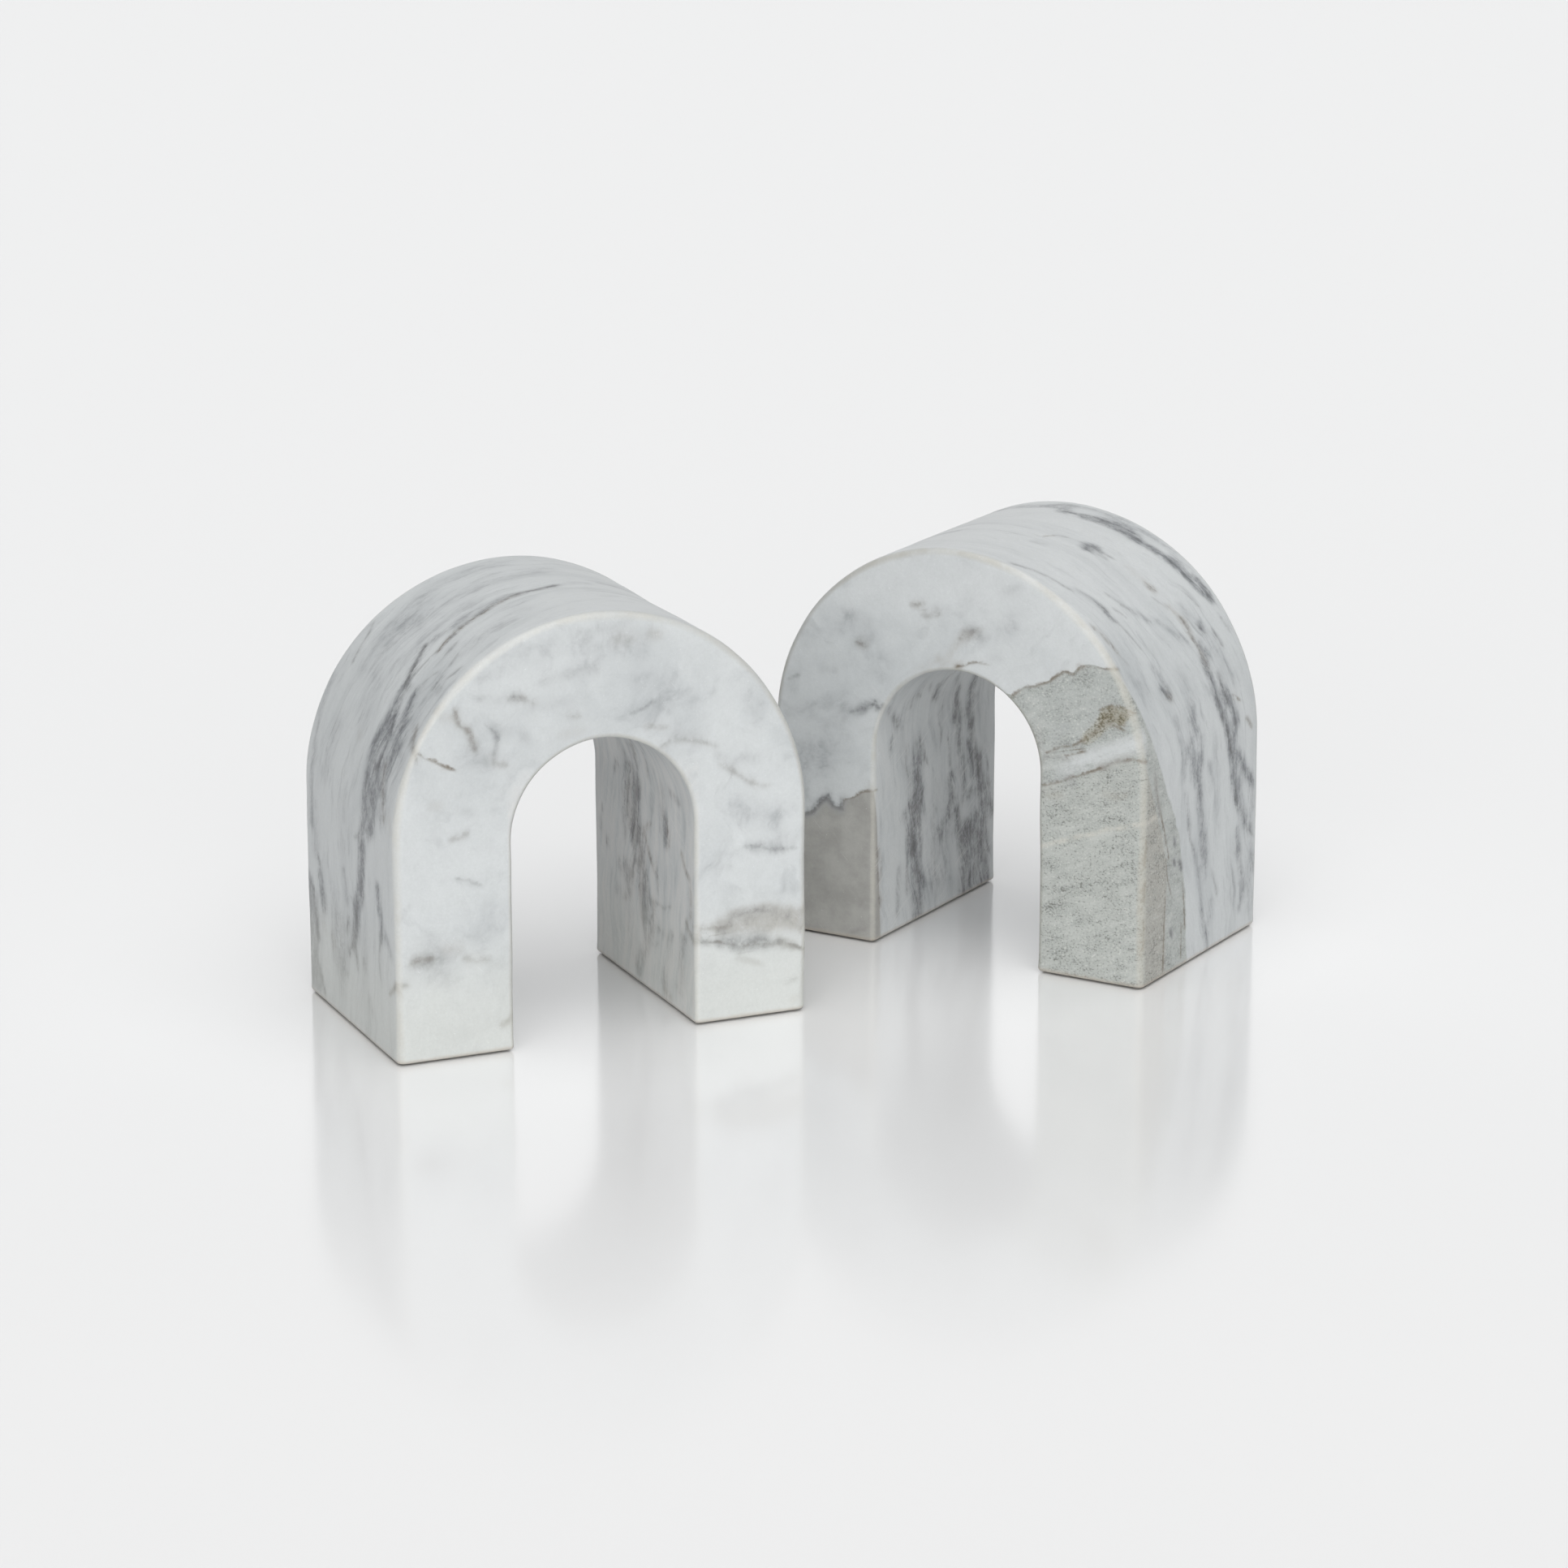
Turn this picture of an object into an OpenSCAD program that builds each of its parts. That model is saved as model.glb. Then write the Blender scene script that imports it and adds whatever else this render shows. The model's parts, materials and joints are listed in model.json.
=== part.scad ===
// A pair of solid marble book ends. Each one is an upright arch, cut from a single block of stone,
// and stands on four thin self-adhesive pads. The pair is set down at an angle to each other, as on
// a shelf that shows both their fronts and their sides.
// X runs along the shelf, Y away from its front edge, and Z up. The origin is on the shelf, in the
// middle of the floor area that the pair covers.

/* [Arch] */
// Width of one arch, across both its feet
arch_w = 130.5; // [120:0.5:145]
// Height of one arch, from the underside of its feet to its crown
arch_h = 129.5; // [120:0.5:145]
// Depth of one arch, along its opening
arch_d = 80.5; // [50:0.5:110]
// Width of the opening between the feet
gap_w = 57; // [45:0.5:66]
// Height of the opening, from the underside of the feet to its top
gap_h = 91; // [80:0.5:100]
// Radius that every edge is ground to
edge_r = 3; // [1:0.5:5]

/* [Pads] */
// Diameter of a protective pad
pad_d = 14; // [8:1:20]
// Thickness of a protective pad
pad_t = 0.5; // [0.3:0.1:2]
// Distance from the front or back of a foot to the middle of a pad
pad_inset = 14; // [12:1:22]

/* [Arrangement] */
// Distance along the shelf from the left arch's middle to the right arch's
pair_x = 142; // [138:1:200]
// How much further back the right arch's middle stands
pair_y = 76; // [50:1:100]
// Turn of the left arch, seen from above, counter-clockwise
left_turn = 24; // [0:0.5:35]
// Turn of the right arch, seen from above, clockwise
right_turn = 30.7; // [0:0.1:35]

/* [Hidden] */
$fn = 96;

stone_colour = "#dfe3e6";
pad_colour = "#b9b4ab";

// The arch's outside is straight up to outer_spring and a half circle above it, and its opening is
// the same with gap_spring. The legs end at the lower of the two heights and the crown starts there.
outer_r = arch_w / 2;
outer_spring = arch_h - outer_r;
gap_r = gap_w / 2;
gap_spring = gap_h - gap_r;
leg_w = (arch_w - gap_w) / 2;
leg_h = min(outer_spring, gap_spring);
leg_x = gap_r + leg_w / 2;
past = 1;

// Half the floor area that an arch covers along X and Y, with its edges rounded, at a given turn
function half_x(turn) =
    (arch_w / 2 - edge_r) * cos(turn) + (arch_d / 2 - edge_r) * sin(turn) + edge_r;
function half_y(turn) =
    (arch_w / 2 - edge_r) * sin(turn) + (arch_d / 2 - edge_r) * cos(turn) + edge_r;

left_x = (half_x(left_turn) - half_x(right_turn) - pair_x) / 2;
left_y = (half_y(left_turn) - half_y(right_turn) - pair_y) / 2;

// Moves a shape from the arch's own frame, with its middle on the origin, to its place in the pair
module place_left() {
    translate([left_x, left_y, 0]) rotate([0, 0, left_turn]) children();
}
module place_right() {
    translate([left_x + pair_x, left_y + pair_y, 0]) rotate([0, 0, -right_turn]) children();
}

// A rectangle of w by d round the origin with its corners rounded
module rounded_rectangle(w, d) {
    square([w - 2 * edge_r, d], center = true);
    square([w, d - 2 * edge_r], center = true);
    for (x = [-1, 1], y = [-1, 1])
        translate([x * (w / 2 - edge_r), y * (d / 2 - edge_r)]) circle(r = edge_r);
}

// The plan of the opening, as wide as w, which flares out at the front and back where its edges
// are rounded over
module flared_rectangle(w) {
    difference() {
        square([w + 2 * edge_r, arch_d + 2 * past], center = true);
        for (x = [-1, 1])
            translate([x * (w / 2 + 2 * edge_r), 0]) rounded_rectangle(4 * edge_r, arch_d);
    }
}

// The half of a plan that lies at X above 0, for turning about the Y axis
module right_half() {
    intersection() {
        children();
        translate([0, -arch_d]) square([arch_w, 2 * arch_d]);
    }
}

// A half circle stood upright, whose profile from the middle outwards is the given plan
module upright_half_circle() {
    rotate([90, 0, 0]) rotate_extrude(angle = 180) right_half() children();
}

// One leg, with all its edges rounded but those at the top, where it runs into the crown
module leg() {
    side_x = leg_w / 2 - edge_r;
    side_y = arch_d / 2 - edge_r;
    translate([0, 0, edge_r])
        linear_extrude(height = leg_h - edge_r) rounded_rectangle(leg_w, arch_d);
    translate([-side_x, -side_y, 0]) cube([2 * side_x, 2 * side_y, 2 * edge_r]);
    for (x = [-side_x, side_x])
        translate([x, 0, edge_r])
            rotate([90, 0, 0]) cylinder(h = 2 * side_y, r = edge_r, center = true);
    for (y = [-side_y, side_y])
        translate([0, y, edge_r])
            rotate([0, 90, 0]) cylinder(h = 2 * side_x, r = edge_r, center = true);
    for (x = [-side_x, side_x], y = [-side_y, side_y])
        translate([x, y, edge_r]) sphere(r = edge_r);
}

// The stone above the legs: a rounded block and half circle, less the top of the opening
module crown() {
    difference() {
        union() {
            translate([0, 0, leg_h])
                linear_extrude(height = outer_spring - leg_h) rounded_rectangle(arch_w, arch_d);
            translate([0, 0, outer_spring]) upright_half_circle() rounded_rectangle(arch_w, arch_d);
        }
        translate([0, 0, leg_h - past])
            linear_extrude(height = gap_spring - leg_h + past) flared_rectangle(gap_w);
        translate([0, 0, gap_spring]) upright_half_circle() flared_rectangle(gap_w);
    }
}

// One whole arch in its own frame, standing on its pads
module arch() {
    translate([0, 0, pad_t]) {
        crown();
        for (x = [-leg_x, leg_x]) translate([x, 0, 0]) leg();
    }
}

// One pad under a foot: side is -1 for the foot at the left and 1 for the foot at the right, and
// end is -1 for the front of the foot and 1 for the back
module pad(side, end) {
    color(pad_colour)
        translate([side * leg_x, end * (arch_d / 2 - pad_inset), 0]) cylinder(h = pad_t, d = pad_d);
}

module left_arch() {
    color(stone_colour) place_left() arch();
}

module right_arch() {
    color(stone_colour) place_right() arch();
}

// The outer foot is the one at the end of the pair, and the inner foot faces the other arch
left_arch();
place_left() pad(-1, -1);  // left_pad_outer_front
place_left() pad(-1, 1);  // left_pad_outer_back
place_left() pad(1, -1);  // left_pad_inner_front
place_left() pad(1, 1);  // left_pad_inner_back
right_arch();
place_right() pad(1, -1);  // right_pad_outer_front
place_right() pad(1, 1);  // right_pad_outer_back
place_right() pad(-1, -1);  // right_pad_inner_front
place_right() pad(-1, 1);  // right_pad_inner_back
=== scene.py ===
"""A pair of solid marble arch book ends on a pale, softly reflecting table."""

import json
import math

import bpy
import numpy as np
from mathutils import Matrix, Vector, noise


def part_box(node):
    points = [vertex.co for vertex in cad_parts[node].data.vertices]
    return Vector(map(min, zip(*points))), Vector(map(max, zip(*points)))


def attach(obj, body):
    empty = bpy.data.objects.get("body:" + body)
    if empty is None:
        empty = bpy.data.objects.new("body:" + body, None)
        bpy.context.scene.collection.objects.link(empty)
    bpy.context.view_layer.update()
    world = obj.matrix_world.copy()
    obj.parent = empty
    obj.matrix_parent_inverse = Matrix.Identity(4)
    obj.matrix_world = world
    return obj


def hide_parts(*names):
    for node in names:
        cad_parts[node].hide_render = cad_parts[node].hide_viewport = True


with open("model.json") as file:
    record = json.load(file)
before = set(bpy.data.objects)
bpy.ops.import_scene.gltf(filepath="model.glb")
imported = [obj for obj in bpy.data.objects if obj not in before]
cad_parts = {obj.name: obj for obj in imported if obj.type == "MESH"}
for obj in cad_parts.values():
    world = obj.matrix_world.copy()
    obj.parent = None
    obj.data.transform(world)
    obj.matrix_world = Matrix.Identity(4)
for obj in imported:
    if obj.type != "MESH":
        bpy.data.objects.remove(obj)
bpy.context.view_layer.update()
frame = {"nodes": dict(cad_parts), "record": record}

MM = 0.001
MOUNTS = {m["name"]: m for m in frame["record"]["mounts"]}


# ---------------------------------------------------------------- the veins of each stone

# Every vein is laid on a face of its arch, as a kind and a path of points in millimetres.
# On front and back a point is (across, height above the table). On the other faces it is
# (distance up the surface from the table, across the depth from -40 in front to 40 behind).

VEIN_KINDS = {
    # kind: (half width of its line, darkness of the line, half width of its haze, density, warmth)
    "thread": (0.85, 0.30, 1.7, 0.42, 0.1),
    "ink": (1.35, 0.62, 2.2, 0.66, 0.1),
    "braid": (0.95, 0.42, 3.0, 0.84, 0.0),
    "smoke": (0.0, 0.0, 2.4, 0.55, 0.0),
    "faint": (0.0, 0.0, 2.7, 0.36, 0.1),
    "fleck": (1.20, 0.22, 1.9, 0.38, 0.5),
    "seam": (0.75, 0.90, 1.5, 0.50, 0.3),
    "cloud": (0.0, 0.0, 6.0, 0.42, 0.0),
    "mist": (0.0, 0.0, 3.6, 0.68, 0.0),
    "shade": (0.0, 0.0, 4.2, 0.90, 0.0),
    "brown": (0.70, 0.85, 1.5, 0.32, 0.85),
    "umber": (1.15, 0.42, 1.9, 0.56, 0.6),
    "rust": (1.30, 0.85, 1.9, 0.55, 1.0),
    "tan": (0.0, 0.0, 2.4, 0.36, 0.9),
    "taupe": (0.0, 0.0, 3.3, 0.80, 0.85),
}

LEFT_VEINS = {
    "outer_left": [
        ("smoke", (179, -0.5), (174, -1), (168, -3)), ("ink", (166, -4), (163, -5), (156, -5.2)),
        ("brown", (155, -5.3), (150, -6.3), (146, -7.3), (141, -9), (136, -9.8), (129, -11), (124, -13)),
        ("ink", (155, -5.1), (149, -6.2), (141, -8.8), (134, -10), (127, -11.8)),
        ("smoke", (152, -3), (146, -4), (138, -5), (131, -6.5), (126, -5)),
        ("thread", (124, -12.6), (119, -12.8), (113, -12.3)),
        ("ink", (122, -4.2), (119, -6.5), (113, -10), (109, -12.3)),
        ("braid", (109, -12.3), (104, -13), (98, -13.5), (92, -11.5), (86, -11.2), (80, -12.8),
         (72, -14)), ("thread", (110, -15), (107, -14.6), (104, -16)),
        ("braid", (100, -17), (96, -19.5), (90, -20.5), (86, -19.8), (78, -20.5), (67, -20.7)),
        ("ink", (89, -20.6), (87.5, -19.5), (85, -17.5)), ("mist", (100, -15.5), (82, -16)),
        ("shade", (79, -15), (68, -14.5)), ("shade", (79, -19), (70, -19.5)),
        ("braid", (67, -18), (63, -13.5), (57, -11.5), (50, -10), (44, -9), (38, -5), (31, -3)),
        ("mist", (69, -17), (62, -12.5), (57, -11), (50, -9.5), (44, -8)),
        ("mist", (44, -8), (37, -4), (29, -2)), ("ink", (60, -11.6), (55, -12.3)),
        ("ink", (49, -10.4), (45, -10.6)), ("ink", (38, -3.2), (34, -3.8)),
        ("thread", (66, -12), (62, -8.5), (61, -5.5)),
        ("ink", (41, -5), (36, -4.5), (31, -2.5), (26.5, -0.6), (23, 2.5)),
        ("ink", (28, -1.8), (24, -2.5), (20.5, -4)), ("thread", (40, 0), (38.5, -2)),
        ("thread", (33, 3), (30, 4.6)),
        ("braid", (110, -20.5), (105, -22.5), (100, -25), (94, -26.5), (86, -26.5)),
        ("mist", (103, -24), (92, -27.5), (82, -26.5), (78, -28.5)),
        ("umber", (86, -24.5), (80, -27), (76, -29), (73, -30.5)), ("smoke", (79, -25), (70, -28.5)),
        ("thread", (117, -22.8), (114, -21.8)), ("thread", (125, -25), (122, -26.5)),
        ("thread", (118, -27.3), (114, -28.6)), ("thread", (122, -33), (118, -31.8), (114, -33)),
        ("thread", (128, -17.5), (125, -18.5)),
        ("braid", (50, -24.5), (45, -25.5), (40, -27), (36, -26.5)),
        ("thread", (36, -26.5), (32, -25), (28, -24.3), (24, -25.5)),
        ("umber", (101, -34.5), (99, -35.6), (96.5, -37.6), (95.5, -40)), ("tan", (74, -35), (70, -36)),
        ("umber", (21, -34), (24, -38.5)), ("smoke", (37, -31.5), (33, -34.5)),
        ("thread", (119.5, 35.2), (115, 32), (111, 31), (107.5, 29.8)),
        ("thread", (45.5, 28.5), (43, 26.5), (40, 28)), ("smoke", (35, 26), (32, 24.5)),
        ("smoke", (100, 36.5), (85, 34.5), (78, 33), (68, 33.5), (55, 34.5)),
        ("ink", (34, 34.5), (30, 32.8), (25, 31.5), (20, 30.8)), ("shade", (35, 38), (22, 35), (8, 34.5)),
        ("shade", (29, 34.5), (14, 33.5), (5, 31.5)), ("shade", (32, 36.5), (18, 36), (6, 35)),
        ("ink", (33, 33.5), (27, 32.4), (20, 31)), ("ink", (9.5, 30), (6, 27.5), (4, 26)),
        ("mist", (40, 26), (31, 24.5)), ("smoke", (47, 6), (38, 4)), ("cloud", (60, 30), (48, 30)),
        ("cloud", (88, 20), (74, 22)), ("cloud", (30, -12), (12, -10)), ("smoke", (17, 8), (15.5, 6.2)),
        ("smoke", (23, -10), (22, -10.5)), ("smoke", (13, -15.5), (10, -17.5)),
        ("tan", (90, 1.5), (89.5, 1)), ("tan", (25, 25), (24, 24)), ("tan", (24, 18), (21, 16.5)),
        ("cloud", (134, 25), (125, 22)), ("cloud", (104, 4), (96, 3)), ("cloud", (40, 16), (20, 14)),
        ("cloud", (160, 30), (140, 31)), ("cloud", (152, 14), (128, 12)), ("cloud", (172, 18), (160, 12)),
        ("cloud", (118, 24), (108, 22)), ("cloud", (112, -30), (92, -33)), ("cloud", (70, 4), (54, 6)),
        ("cloud", (142, 2), (116, 0)), ("cloud", (150, -20), (130, -26)), ("cloud", (30, 6), (8, 9)),
        ("cloud", (126, 16), (108, 12)), ("cloud", (28, 14), (14, 12)),
    ],
    "front": [
        ("brown", (-58.5, 94.6), (-55, 92), (-52, 90.4), (-49.5, 88.8), (-47.5, 88)),
        ("umber", (-45.3, 104.5), (-44.6, 101), (-42.4, 99.5), (-41, 97), (-40, 93.8)),
        ("faint", (-39.5, 92.5), (-37, 90)), ("tan", (-50.5, 105), (-48, 102.5)),
        ("thread", (-35, 99), (-33.2, 97), (-33, 94), (-34, 90.6)),
        ("fleck", (-34, 90.6), (-33.6, 88), (-31, 87.4)), ("faint", (-33, 97.6), (-27, 97), (-22.5, 93)),
        ("faint", (-38, 108), (-33, 107), (-28, 107.5)),
        ("fleck", (-28, 107.2), (-25, 106.8), (-22, 105.6)),
        ("faint", (-23, 104), (-16, 104), (-9, 104.2)), ("cloud", (-32, 120), (-24, 119), (-16, 121)),
        ("faint", (-38, 114), (-33, 114.6)), ("fleck", (-10, 100), (-8, 99.6)),
        ("tan", (-13, 94.4), (-7, 95.3)), ("thread", (10, 98.8), (13, 99.8), (15, 101)),
        ("fleck", (14, 93.8), (19, 93.2)), ("faint", (19, 101), (20, 98)),
        ("fleck", (19, 87.5), (22, 89), (26, 89), (31, 87.6), (35, 86.3)),
        ("faint", (23, 90.4), (29, 90.6)), ("faint", (36, 83), (40, 80.6), (45, 81), (49, 80.4)),
        ("fleck", (38, 79), (43, 76), (46, 73.6), (50, 72.2), (52, 72)),
        ("thread", (46.5, 53.4), (50, 53), (53, 51.8), (60, 51.5)), ("faint", (47, 53.5), (56, 52)),
        ("faint", (57, 55.6), (60, 55), (63.5, 56.5)), ("faint", (34, 49), (39, 48)),
        ("tan", (5, 121.5), (10, 121.4)), ("tan", (16, 121.6), (18, 121.4)),
        ("umber", (30.5, 30.4), (34, 30), (38, 29.6)), ("taupe", (38, 30), (44, 30.8), (52, 30.6)),
        ("taupe", (52, 30.6), (58, 29.2), (66, 27.4)), ("faint", (38, 31), (48, 32.4), (58, 31)),
        ("thread", (41, 32.4), (46, 33.6), (53, 33)), ("ink", (27.5, 26.4), (32.3, 26)),
        ("braid", (38, 25.6), (44, 24.6), (50, 24.2)),
        ("ink", (41, 23.6), (44.5, 23), (48, 23.6), (51, 22.4), (56.5, 22.6)),
        ("seam", (31, 26), (36, 25.2), (41, 23.8), (44.5, 23.1), (48, 23.4), (51, 22.5),
         (56.5, 22.5), (60, 21.2)), ("umber", (56.5, 22.6), (60, 21)),
        ("seam", (60, 21.2), (63, 19.6), (66, 18.6)),
        ("taupe", (42, 31.5), (50, 32), (58, 30.8), (66, 29)), ("faint", (-20, 111), (-2, 113)),
        ("cloud", (-4, 118), (12, 119)), ("cloud", (12, 108), (26, 102)), ("faint", (-6, 124), (8, 126)),
        ("cloud", (44, 104), (50, 96)), ("cloud", (42, 66), (54, 62)),
        ("fleck", (43, 18.8), (46, 18), (49.5, 16.7)), ("thread", (59, 9.8), (60.5, 10.3)),
        ("tan", (60.5, 4.2), (63, 5)), ("umber", (-59.3, 31.4), (-57.4, 32), (-55, 31.7)),
        ("faint", (-55, 31.7), (-52, 31.6)), ("umber", (-65, 24.6), (-62.8, 24.6)),
        ("tan", (-49, 34.4), (-46, 34.6)), ("fleck", (-43, 30.1), (-40.5, 29.5), (-37.5, 29.8)),
        ("umber", (-31.8, 9), (-30.3, 9.6), (-29, 11)), ("fleck", (-46.8, 67), (-45, 67.2), (-43.4, 68)),
        ("thread", (-44.8, 54.7), (-42.6, 54.2)), ("thread", (-41, 53), (-40, 52.6)),
        ("faint", (-44, 75), (-41, 74)), ("tan", (-53, 77.8), (-51, 77.4)),
        ("cloud", (-58, 28), (-50, 27)), ("cloud", (-33, 42), (-38, 38)),
    ],
    # The broad clouds and mists over this inner wall are partly the stone's grey streaks and partly painted
    # shade on a wall that faces into the opening
    "inner_right": [
        ("ink", (80, -2), (77, -0.5), (73, 2)), ("smoke", (77, 4), (72, 3), (64, 4)),
        ("thread", (77, -8), (73, -6.5), (69, -5)), ("shade", (66, 8), (60, 12), (54, 12)),
        ("braid", (62, 4), (57, 6), (53, 6), (50, 4), (46, 2.4), (42, 1), (38, 0), (33, -2), (29, -3)),
        ("ink", (56, 8), (52, 6.5), (48, 8.5), (44, 7)), ("braid", (50, 10), (46, 9)),
        ("braid", (40, 2), (39, 6), (36, 9), (32, 10)),
        ("umber", (50, -0.5), (47, -2.5), (43, -5), (40, -8)),
        ("ink", (29, -7.6), (26, -7.6), (24.3, -6.4)), ("braid", (29, 1), (23, 0)),
        ("ink", (32.5, 2), (31.8, 2.8)), ("umber", (53.4, -5), (52.2, -2.8)),
        ("umber", (57, -18.5), (52, -20)), ("thread", (31.5, -20), (30, -16), (30, -10)),
        ("smoke", (23, -22), (21, -18), (22, -12), (22, -6)),
        ("braid", (20, -6), (17, -4), (13, -2), (11, 0)), ("thread", (16, -8), (17, -10)),
        ("cloud", (16, -18), (8, -16)), ("shade", (8, 3), (6, 4.5)),
        ("umber", (50, -30), (46, -32.5), (44, -36), (40, -36.5), (33, -36)),
        ("umber", (30, -33), (27, -36), (25.5, -40)), ("smoke", (66, 21), (64, 22.6)),
        ("thread", (49, 33.5), (48.6, 33.4)), ("smoke", (45, 34.5), (42, 34.6)),
        ("smoke", (39.5, 29.6), (38, 29.6)), ("smoke", (35, 20), (33, 19)),
        ("thread", (25, 15), (24.6, 16)), ("smoke", (26, 21), (25, 22)), ("smoke", (68, -22), (66, -28)),
        ("cloud", (76, 12), (60, 14)), ("cloud", (70, -14), (54, -16)),
        ("shade", (60, 6), (54, 7), (46, 5)), ("mist", (42, 3), (30, 0), (18, -1)),
        ("ink", (45, 3), (38, 1)), ("smoke", (52, 16), (44, 15)), ("smoke", (36, 15), (28, 12)),
        ("thread", (44, -10), (34, -11)), ("cloud", (34, 14), (12, 10)), ("smoke", (60, -16), (50, -18)),
        ("mist", (24, -30), (8, -28)), ("umber", (4, -16), (3, -20)), ("smoke", (8, -16), (3, -16.6)),
    ],
    "outer_right": [
        ("smoke", (150, 4), (140, 6), (128, 9)), ("smoke", (120, 10), (108, 14), (98, 13), (84, 18)),
        ("thread", (96, 13), (90, 15), (86, 18)), ("smoke", (84, 18), (70, 16), (58, 19), (40, 24)),
        ("thread", (112, -8), (102, -12), (95, -12)), ("smoke", (95, -12), (80, -16), (66, -15)),
        ("umber", (30, -40), (26, -34), (24, -26)), ("smoke", (33, -40), (28, -30), (27, -18)),
        ("thread", (19, -40), (16, -33), (12, -29)), ("thread", (52, -6), (44, -3), (36, -4)),
        ("cloud", (60, 2), (40, 6)), ("smoke", (20, 6), (8, 10)), ("brown", (74, 31), (66, 33), (60, 32)),
    ],
    "inner_left": [
        ("smoke", (78, 4), (68, 8), (58, 6), (48, 10)), ("thread", (58, 6), (52, 8)),
        ("smoke", (48, 10), (34, 14), (20, 12)), ("thread", (66, -16), (56, -18), (50, -22)),
        ("umber", (36, -30), (30, -28), (24, -31)), ("smoke", (20, -10), (8, -12)),
    ],
    "back": [
        ("smoke", (-62, 100), (-50, 96), (-38, 98), (-26, 104)), ("thread", (-44, 97), (-38, 98.4)),
        ("thread", (10, 108), (20, 104), (32, 103)), ("smoke", (26, 96), (38, 88), (50, 84)),
        ("umber", (44, 60), (50, 57), (58, 58)), ("smoke", (34, 40), (46, 36), (60, 37)),
        ("thread", (50, 24), (56, 22), (66, 23)), ("mist", (56, 22), (66, 14)),
        ("smoke", (-64, 60), (-52, 54), (-40, 56)), ("thread", (-48, 30), (-40, 26), (-32, 27)),
        ("cloud", (-6, 118), (8, 116)), ("smoke", (-60, 16), (-48, 13)),
    ],
}

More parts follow.
